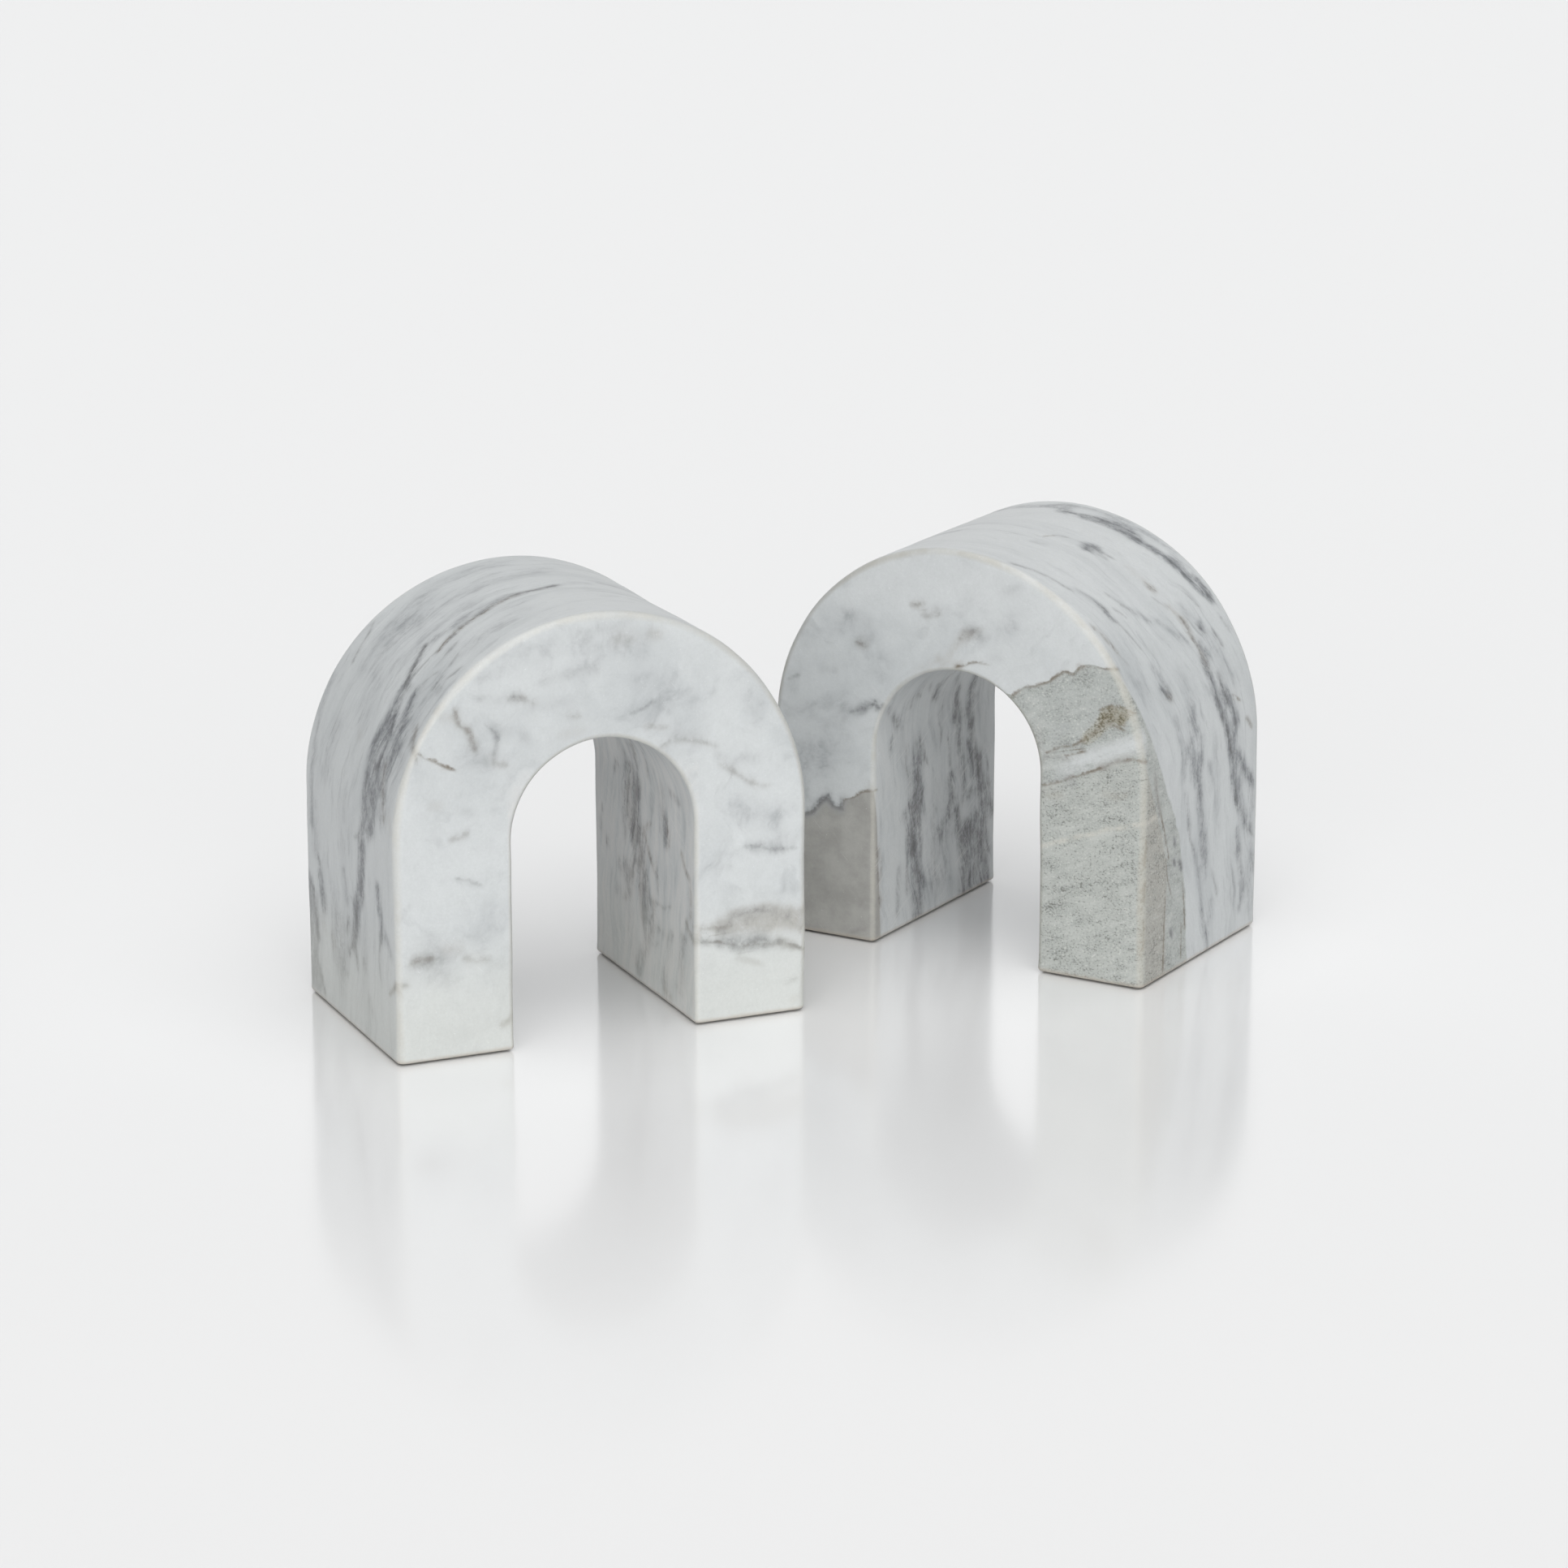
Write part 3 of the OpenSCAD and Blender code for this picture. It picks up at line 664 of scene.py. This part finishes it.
def lay_veins(arch, veins, points, arcs, shares):
    """What the veins do at each mesh point: haze, and the nearest line's distance and looks."""
    count = len(points)
    clear, warm_haze, haze_sum = np.ones(count), np.zeros(count), np.full(count, 1e-6)
    line = {"near": np.full(count, 99.0), "side": np.full(count, 99.0),
            "thick": np.full(count, 0.5), "ink": np.zeros(count), "warm": np.zeros(count)}
    for face, strokes in veins.items():
        a, b, below = face_view(arch, face, points, arcs, shares)
        below = np.maximum(below - EDGE_R / 2, 0) * 1.2
        for kind, *path in strokes:
            half, ink, spread, density, warmth = VEIN_KINDS[kind]
            near, side = near_path(a, b, path)
            haze = density * np.exp(-(near ** 2 + below ** 2) / spread ** 2)
            clear *= 1 - haze
            warm_haze += haze * warmth
            haze_sum += haze
            gone = np.hypot(near, below)
            first = (gone < line["near"]) & (half > 0)
            for key, value in (("near", gone), ("side", side)):
                line[key][first] = value[first]
            for key, value in (("thick", half), ("ink", ink), ("warm", warmth)):
                line[key][first] = value
    return {**line, "haze": 1 - clear, "haze_warm": warm_haze / haze_sum}


def make_arch(arch, seed, hollows, veins, layers, material):
    points, faces, edges, arcs, shares = arch_mesh(arch, seed, hollows)
    name = f"{arch.side}_marble_arch"
    mesh = bpy.data.meshes.new(name)
    mesh.from_pydata(arch.to_row(points).tolist(), [], faces)
    kept = {"edge": edges, **lay_veins(arch, veins, points, arcs, shares), **layers(points)}
    for key, values in kept.items():
        data = mesh.attributes.new(key, "FLOAT", "POINT").data
        data.foreach_set("value", values.astype(np.float32))
    mesh.polygons.foreach_set("use_smooth", [True] * len(mesh.polygons))
    piece = bpy.data.objects.new(name, mesh)
    bpy.context.collection.objects.link(piece)
    mesh.materials.append(material)
    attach(piece, f"{arch.side}_bookend")
    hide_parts(f"{arch.side}_arch")


# ---------------------------------------------------------------- marble

WHITE = (0.562, 0.583, 0.586)
CLOUDY = (0.445, 0.468, 0.476)
HAZE = (0.375, 0.392, 0.404)
GREY = (0.230, 0.242, 0.254)
DARK = (0.078, 0.081, 0.087)
TAN = (0.350, 0.330, 0.300)
BROWN = (0.135, 0.100, 0.058)
CREAM = (0.490, 0.484, 0.445)
DARK_CREAM = (0.400, 0.390, 0.345)
OPENING_DARK = (0.130, 0.113, 0.108)
GROUND = (0.730, 0.690, 0.655)
FOOT_TAN = (0.440, 0.385, 0.320)
GLINT = (0.90, 0.91, 0.92)
SCRATCH = (0.80, 0.80, 0.79)
SAW_MARK = (0.72, 0.71, 0.69)
DULL_FOOT = (0.575, 0.588, 0.545)
CLEAN_CROWN = (0.620, 0.635, 0.640)
GROUND_PALE = {"left": 0.30, "right": 0.08}     # how far grinding has paled the opening


class Stone:
    """The white marble that both arches share, whose beds lie nearly parallel to the front."""

    def __init__(self, g, arch, seed, tilt):
        self.g = g
        self.ground_pale = GROUND_PALE[arch.side]
        own = g.node("ShaderNodeMapping", {"Vector": g.place(), "Location": tuple(arch.centre),
                     "Rotation": (0, 0, arch.turn), "Scale": (MM, MM, MM)}, vector_type="TEXTURE")
        self.u, self.v, self.z = u, v, z = g.apart(Term(g, own.outputs[0]))
        self.big = g.noise(g.point(u / 50, v / 34, z / 42), detail=3, seed=seed)
        self.mid = g.noise(g.point(u / 15, v / 10, z / 16), detail=3, seed=seed + 1)
        self.small = g.noise(g.point(u / 4.2, v / 3.4, z / 4.6), detail=3, roughness=0.6, seed=seed + 2)
        self.fine = g.noise(g.point(u / 0.7, v / 0.7, z / 0.7), detail=2, roughness=0.7, seed=seed + 3)
        bed = v + u * tilt[0] + z * tilt[1] + self.big * 9 + self.mid * 2.4 + self.small * 0.5
        self.dots = g.noise(g.point(u / 1.2, v / 1.2, z / 1.2), detail=2, roughness=0.6, seed=seed + 7)
        self.slow = g.noise(g.point(u / 36, bed / 6.5, z / 36), detail=4, roughness=0.55, seed=seed + 4)
        self.streak = g.noise(g.point(u / 15, bed / 2.3, z / 17), detail=4, roughness=0.6, seed=seed + 5)
        self.fibre = g.noise(g.point(u / 6, bed / 0.8, z / 7), detail=3, roughness=0.65, seed=seed + 6)
        self.off_front = g.smooth(v, -39.6, -34)
        # Inside the opening, below its round top
        self.inside = g.smooth(abs(u), arch.gap_r + 2.2, arch.gap_r + 0.8) * g.smooth(z, 92, 70)
        self.inside = self.inside * (1.0 - g.kept("edge"))

    def clouds(self):
        """Soft blue-grey clouds and streaks in white, everywhere in the stone."""
        g = self.g
        # The front face lies along a clean bed, and the beds behind it are greyer. Greying every face but
        # the front is partly that and partly painted shade on the sides, which turn away from the front
        # light.
        off_front = self.off_front * (1.0 - self.inside * 0.7)
        cloud = g.smooth(self.slow + self.big * 0.5, -0.25, 0.65) * 0.8 + off_front * 0.22
        colour = g.mix(cloud, WHITE, CLOUDY)
        faint = g.smooth(self.streak + self.slow * 0.5 + self.small * 0.25, 0.05, 0.70)
        colour = g.mix(faint * (0.34 + off_front * 0.10), colour, GREY)
        mottle = g.smooth(self.fibre * 0.7 + self.streak * 0.5 + self.dots * 0.3, 0.02, 0.60)
        return g.mix(mottle * (0.20 + off_front * 0.22), colour, GREY)

    def veins(self, colour):
        """Feathered haze round the veins, and their fine broken lines."""
        g = self.g
        haze = g.kept("haze")
        feather = self.fibre * 0.35 + self.streak * 0.45 + self.small * 0.60 + self.dots * 0.20
        soft = g.smooth(haze + feather * (haze * 1.1 + 0.16) * g.smooth(haze, 0.02, 0.2), 0.06, 1.0)
        tint = g.mix(g.kept("haze_warm"), g.mix(soft, HAZE, GREY), TAN)
        colour = g.mix(soft * 0.85, colour, tint)
        heavy = g.smooth(haze * 0.9 + feather * 1.2, 0.75, 1.35)
        core = g.smooth(haze * 0.7 + feather * 1.5, 0.42, 1.25)
        # Painted shade: inside the opening the vein cores are drawn darker, partly their own colour and
        # partly the shade that falls between the legs
        colour = g.mix(core * self.inside * 0.60, colour, OPENING_DARK)
        colour = g.mix(heavy * 0.65, colour, DARK)
        filament = g.ridge(self.fibre + self.small * 0.3, 0.10) * g.smooth(haze, 0.30, 0.80)
        filament = filament * g.smooth(self.dots + self.streak, -0.2, 0.3) * self.off_front
        colour = g.mix(filament * 0.55, colour, DARK)
        wander = self.mid * 0.9 + self.small * 0.8 + self.dots * 0.45
        width = g.kept("thick") * (1.15 + self.small * 0.9)
        line = g.ridge(g.kept("side") + wander, width) * g.smooth(g.kept("near"), 2.8, 0.7)
        broken = g.smooth(self.dots * 0.5 + self.streak * 0.5 + self.small * 0.6, -0.50, 0.35)
        return g.mix(line * broken * g.kept("ink"), colour, g.mix(g.kept("warm"), DARK, BROWN))

    def finish(self, colour, edge_tone_and_highlight, height=0.0, matt=0.0):
        """Crystal grain, pale cream edges (partly ground stone, partly painted highlight) and a honed sheen,
        which end the material.
        """
        g, u, v, z = self.g, self.u, self.v, self.z
        edge = g.kept("edge")
        # The rounded edges are tinted cream: partly the ground stone's own tone, partly painted highlight
        # colour where the edges catch the light
        colour = g.mix(edge * (0.35 + g.smooth(self.mid + self.small * 0.7, -0.4, 0.4) * 0.4), colour, edge_tone_and_highlight)
        shade = 1.0 + self.fine * 0.07 + self.small * 0.05 + self.dots * 0.06
        colour = g.mix(1.0, colour, g.point(shade, shade, shade), blend="MULTIPLY")
        glint = g.noise(g.point(u / 0.55, v / 0.55, z / 0.55), detail=0, seed=90)
        colour = g.mix(g.smooth(glint, 0.60, 0.75) * 0.25, colour, GLINT)
        ground = self.inside * g.smooth(self.streak + self.slow * 0.6, 0.30, -0.30)
        colour = g.mix(ground * self.ground_pale, colour, GROUND)
        # The lowest two millimetres, where the stone meets the table, are tinted tan and darker towards the
        # bottom
        foot = g.smooth(z + self.small * 0.5, 2.4, 0.9)
        colour = g.mix(foot * 0.55, colour, FOOT_TAN)
        slanting = g.point((u + v * 0.5 + z) / 0.30, (v + z * 0.6) / 14, (u - z) / 10)
        scratch = g.noise(slanting, detail=1, seed=91)
        colour = g.mix(g.smooth(scratch, 0.38, 0.60) * 0.20, colour, SCRATCH)
        # The hand-worked opening keeps slanting pale saw marks
        sawn = g.noise(g.point((z - v * 0.55 + u) / 0.55, (v + z * 0.55) / 16, u / 9), detail=2, seed=92)
        sawn = g.smooth(sawn, 0.14, 0.42) * self.inside * g.smooth(self.mid, -0.4, 0.3)
        colour = g.mix(sawn * 0.42, colour, SAW_MARK)
        rough = 0.40 + self.fine * 0.05 + self.small * 0.05 + scratch * 0.05 + matt
        relief = self.fine * 0.35 + self.small * 0.6 + scratch * 0.15 + height
        g.surface(colour, rough, relief, 0.00012, IOR=1.5)


def left_marble(arch):
    material, g = new_material("left_marble")
    stone = Stone(g, arch, 10, (-0.12, 0.10))
    colour = stone.veins(stone.clouds())
    # The feet are a little greener and duller than the crown
    colour = g.mix(g.smooth(stone.z + stone.mid * 8, 44, 8) * 0.45, colour, DULL_FOOT)
    stone.finish(colour, CREAM)
    return material


# The right arch has granular layers at its front. Their backs meet the front face along these
# lines of (across, height), and they are thicker lower down: (drop below the line, depth) in mm.
PALE_LAYER_TOP = [(20, 87), (23, 90), (27, 90.8), (32, 93), (35, 95.5), (37, 97), (40, 96.4),
                  (42, 98.6), (44, 99.6), (47, 99.8), (57, 98), (66, 97)]
PALE_LAYER_DEPTH = [(-1, -1), (0, 0.6), (22, 8), (39, 16), (55, 25), (77, 29.5), (94, 31)]
DARK_LAYER_TOP = [(31, 60.5), (36, 62), (40, 64), (45, 66), (50, 68.3), (54, 70.8), (58, 72),
                  (61, 73), (66, 71)]
DARK_LAYER_DEPTH = [(-1, -1), (0, 0.6), (10, 5), (22, 11), (36, 15.6), (70, 16)]
LEG_LAYER_TOP = [(-66, 35), (-53, 39.3), (-51, 40.3), (-48, 43.8), (-45.5, 45.5), (-43.6, 42.8), (-41, 42.6),
                 (-39.8, 45.4), (-36, 46.8), (-33, 49), (-28, 49.6)]
LEG_LAYER_DEPTH = [(-1, -1), (0, 0.7), (10, 1.8), (28, 3.4), (48, 4.4)]


# Each granular layer's lightest and darkest ground, then what lies in it
SMOOTH_LAYER = (0.372, 0.366, 0.344), (0.292, 0.287, 0.268)
PALE_LAYER = (0.425, 0.447, 0.431), (0.328, 0.346, 0.332)
DARK_LAYER = (0.432, 0.450, 0.425), (0.345, 0.362, 0.342)
SIDE_BROWN = (0.335, 0.320, 0.285)
BLUE_BAND = (0.270, 0.292, 0.276)
PALE_BAND = (0.525, 0.542, 0.512)
SPECK = (0.100, 0.102, 0.086)
FLECK = (0.080, 0.082, 0.066)
PALE_SPECK = (0.615, 0.625, 0.580)
CREAM_STREAK = (0.58, 0.56, 0.49)
OLIVE = (0.320, 0.312, 0.235)
CRUMB = (0.085, 0.072, 0.034)


def no_layers(points):
    return {}


def behind_layer(points, front, top, depth):
    """How far each point lies behind a layer, in mm: negative inside it."""
    u, v, z = points.T
    drop = np.interp(u, *np.array(top).T) - z
    return v - front - np.interp(drop, *np.array(depth).T)


def granular_layers(points):
    front = points[:, 1].min()
    pale = behind_layer(points, front, PALE_LAYER_TOP, PALE_LAYER_DEPTH)
    dark = behind_layer(points, front, DARK_LAYER_TOP, DARK_LAYER_DEPTH)
    leg = behind_layer(points, front, LEG_LAYER_TOP, LEG_LAYER_DEPTH)
    on_right = points[:, 0] > 0
    # On the front the layers are cut at a flat angle, so their edges wander less
    loose = np.interp(points[:, 1] - front, [0, 1, 6], [0.12, 0.2, 1.0])
    return {"layer": np.where(on_right, pale, leg), "dark_layer": np.where(on_right, dark, 30.0),
            "on_right": on_right.astype(float), "loose": loose}


def right_marble(arch):
    """The same stone from beside a seam, with granular grey-green layers at its front."""
    material, g = new_material("right_marble")
    stone = Stone(g, arch, 30, (-0.08, 0.14))
    u, v, z = stone.u, stone.v, stone.z
    colour = stone.clouds()
    # Its crown is the cleanest part of the block
    colour = g.mix(g.smooth(z + stone.mid * 6, 100, 116) * 0.30, colour, CLEAN_CROWN)

    cloud = g.noise(g.point(u / 9, v / 7, z / 5), detail=3, roughness=0.6, seed=50)
    speck = g.noise(g.point(u / 0.75, v / 0.75, z / 0.58), detail=3, roughness=0.7, seed=51)
    band = g.noise(g.point((u + z * 0.42) / 13, v / 7, (z - u * 0.42 + stone.small) / 1.9),
                   detail=4, roughness=0.6, seed=54)
    loose = g.kept("loose")
    ragged = (stone.mid * 1.6 + stone.small * 1.0) * loose
    inside = g.smooth((g.kept("layer") + ragged) / loose, 0.6, -0.6)
    deep = g.smooth((g.kept("dark_layer") + ragged) / loose, 0.9, -0.9)
    on_right = g.kept("on_right")

    even = g.noise(g.point(u / 9, v / 9, z / 8), detail=4, roughness=0.6, seed=52)
    smooth_grey = g.mix(g.smooth(even, -0.4, 0.4), *SMOOTH_LAYER)
    pale_grain = g.mix(g.smooth(cloud, -0.6, 0.6), *PALE_LAYER)
    dark_grain = g.mix(g.smooth(cloud, -0.6, 0.6), *DARK_LAYER)
    grain = g.mix(deep, pale_grain, dark_grain)
    # Ground across its beds, at the side, the dark layer is browner
    grain = g.mix(g.smooth(v, -39.2, -37) * deep * 0.7, grain, SIDE_BROWN)
    grain = g.mix(g.smooth(band, 0.02, 0.42) * 0.42, grain, BLUE_BAND)
    grain = g.mix(g.smooth(band, -0.06, -0.44) * 0.36, grain, PALE_BAND)
    dark_speck = g.smooth(speck + cloud * 0.22 + band * 0.2, 0.06, 0.32) * (0.46 + deep * 0.24)
    grain = g.mix(dark_speck, grain, SPECK)
    fleck = g.noise(g.point(u / 1.7, v / 1.7, z / 1.3), detail=3, roughness=0.65, seed=53)
    dark_fleck = g.smooth(fleck + cloud * 0.3 + band * 0.2, 0.22, 0.42) * (0.30 + deep * 0.32)
    grain = g.mix(dark_fleck, grain, FLECK)
    grain = g.mix(g.smooth(speck, -0.10, -0.36) * 0.6, grain, PALE_SPECK)
    # Between the layers, a white band crosses the front
    off_band = z - u * 0.42 - 51.5 + stone.mid * 3.5 + stone.small * 2.0
    white_band = g.ridge(off_band, 6.5) * g.smooth(v, -34, -38)
    white_band = white_band * g.smooth(u, 30, 44) * (1.0 - deep) * (0.80 - g.smooth(band, 0.0, 0.4) * 0.35)
    grain = g.mix(white_band, grain, WHITE)
    cream_streak = g.ridge(z - u * 0.36 - 30.0 + stone.mid * 2.2, 1.6) * g.smooth(stone.small, -0.5, 0.3)
    grain = g.mix(cream_streak * deep * 0.5, grain, CREAM_STREAK)
    layer = g.mix(on_right, smooth_grey, grain)
    colour = g.mix(inside * 0.95, colour, layer)

    colour = stone.veins(colour)
    # Iron in the layers breaks up into olive crumbs round the brown veins
    rusty = g.smooth(g.kept("haze_warm"), 0.80, 1.0) * g.smooth(g.kept("haze"), 0.22, 0.55)
    rusty = rusty * inside * on_right
    colour = g.mix(rusty * 0.45, colour, OLIVE)
    crumbs = g.smooth(speck + fleck * 0.7 + stone.small * 0.3, -0.06, 0.22)
    colour = g.mix(rusty * crumbs * 0.85, colour, CRUMB)
    stone.finish(colour, DARK_CREAM, height=speck * inside * on_right * 0.8, matt=inside * 0.08)
    return material


# ---------------------------------------------------------------- pads

def pad_material():
    """Thin grey foam rubber with a fine open texture."""
    material, g = new_material("pad")
    x, y, z = g.apart(g.place())
    cells = g.node("ShaderNodeTexVoronoi", {"Vector": g.place(), "Scale": 2600.0})
    cell = Term(g, cells.outputs["Distance"])
    blotch = g.noise(g.point(x / 0.004, y / 0.004, z / 0.004), detail=4, seed=70)
    colour = g.mix(g.smooth(cell, 0.2, 0.7), (0.26, 0.25, 0.23), (0.17, 0.16, 0.15))
    colour = g.mix(g.smooth(blotch, -0.3, 0.4) * 0.5, colour, (0.33, 0.31, 0.28))
    g.surface(colour, 0.85 + blotch * 0.08, cell + blotch * 0.4, 0.0001)
    return material


def make_pad(node, material, body):
    """A pad with softly rolled rims, in the space of its CAD disc."""
    low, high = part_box(node)
    centre = (low + high) / 2
    radius, thick = (high[0] - low[0]) / 2, high[2] - low[2]
    roll = thick * 0.35
    lower = [(radius * share, 0) for share in (0.35, 0.7)]
    lower += [(radius - roll + roll * math.sin(a), roll - roll * math.cos(a))
              for a in np.linspace(0, math.pi / 2, 5)]
    profile = lower + [(r, thick - z) for r, z in reversed(lower)]
    turns = 72
    points, faces = [], []
    for r, z in profile:
        for angle in np.arange(turns) * 2 * math.pi / turns:
            points.append((centre[0] + r * math.cos(angle), centre[1] + r * math.sin(angle), low[2] + z))
    for i in range(len(profile) - 1):
        for k in range(turns):
            n = (k + 1) % turns
            faces.append((i * turns + k, i * turns + n, (i + 1) * turns + n, (i + 1) * turns + k))
    last = (len(profile) - 1) * turns
    faces.append(tuple(range(turns - 1, -1, -1)))
    faces.append(tuple(last + k for k in range(turns)))
    mesh = bpy.data.meshes.new(f"{node}_foam")
    mesh.from_pydata(points, [], faces)
    mesh.polygons.foreach_set("use_smooth", [True] * len(mesh.polygons))
    piece = bpy.data.objects.new(f"{node}_foam", mesh)
    bpy.context.collection.objects.link(piece)
    mesh.materials.append(material)
    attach(piece, body)
    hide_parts(node)


# ---------------------------------------------------------------- stage

def make_stage():
    """A pale, slightly glossy table in a pale space, under wide soft lights."""
    bpy.context.scene.view_settings.view_transform = "Standard"
    reach = 12.0
    mesh = bpy.data.meshes.new("floor")
    corners = [(-reach, -reach, 0), (reach, -reach, 0), (reach, reach, 0), (-reach, reach, 0)]
    mesh.from_pydata(corners, [], [(0, 1, 2, 3)])
    floor = bpy.data.objects.new("floor", mesh)
    bpy.context.collection.objects.link(floor)
    material, g = new_material("floor")
    mesh.materials.append(material)
    white = g.node("ShaderNodeBsdfDiffuse", {"Color": (0.845, 0.845, 0.845)})
    gloss = g.node("ShaderNodeBsdfGlossy", {"Color": (0.98, 0.99, 1.0), "Roughness": 0.13})
    # Its polish is best round the book ends, so their mirror images fade towards the viewer
    away = g.apart(g.place())[1]
    both = g.node("ShaderNodeMixShader", {"Fac": 0.10 + g.smooth(away, -0.40, -0.10) * 0.27})
    out = g.node("ShaderNodeOutputMaterial")
    g.tree.links.new(white.outputs[0], both.inputs[1])
    g.tree.links.new(gloss.outputs[0], both.inputs[2])
    g.tree.links.new(both.outputs[0], out.inputs[0])

    # The space is bright in front and behind, and dimmer overhead and to the sides
    world = bpy.data.worlds.new("world")
    bpy.context.scene.world = world
    world.use_nodes = True
    g = Graph(world.node_tree)
    direction = Term(g, g.node("ShaderNodeTexCoord").outputs["Generated"])
    aside, behind, height = g.apart(direction)
    strength = 0.20 + g.smooth(height, 0.62, 0.32) * (0.66 + g.smooth(behind, -0.55, -0.95) * 1.0)
    strength = strength * (1.0 - g.smooth(abs(aside), 0.35, 0.90) * 0.85)
    sky = g.node("ShaderNodeBackground", {"Color": (1.0, 1.0, 1.0), "Strength": strength})
    out = g.node("ShaderNodeOutputWorld")
    g.tree.links.new(sky.outputs[0], out.inputs[0])
    soft_light("overhead", (0.05, -0.13, 0.53), 74, 2.14)
    soft_light("front", (-0.04, -1, 0.45), 60, 0.80)


# ---------------------------------------------------------------- making it all

make_camera()
make_stage()

LEFT_HOLLOWS = [((-65, 0, 24), 30, 0.45), ((40, 0, 112), 26, 0.35)]
RIGHT_HOLLOWS = [((46, 0, 112), 34, 0.6), ((65, 10, 40), 26, 0.3)]

left = Arch("left")
make_arch(left, 1, LEFT_HOLLOWS, LEFT_VEINS, no_layers, left_marble(left))
right = Arch("right")
make_arch(right, 4, RIGHT_HOLLOWS, RIGHT_VEINS, granular_layers, right_marble(right))
foam = pad_material()
for body, nodes in frame["record"]["behaviour"]["bodies"].items():
    for node in nodes:
        if "_pad_" in node:
            make_pad(node, foam, body)

bpy.context.view_layer.update()
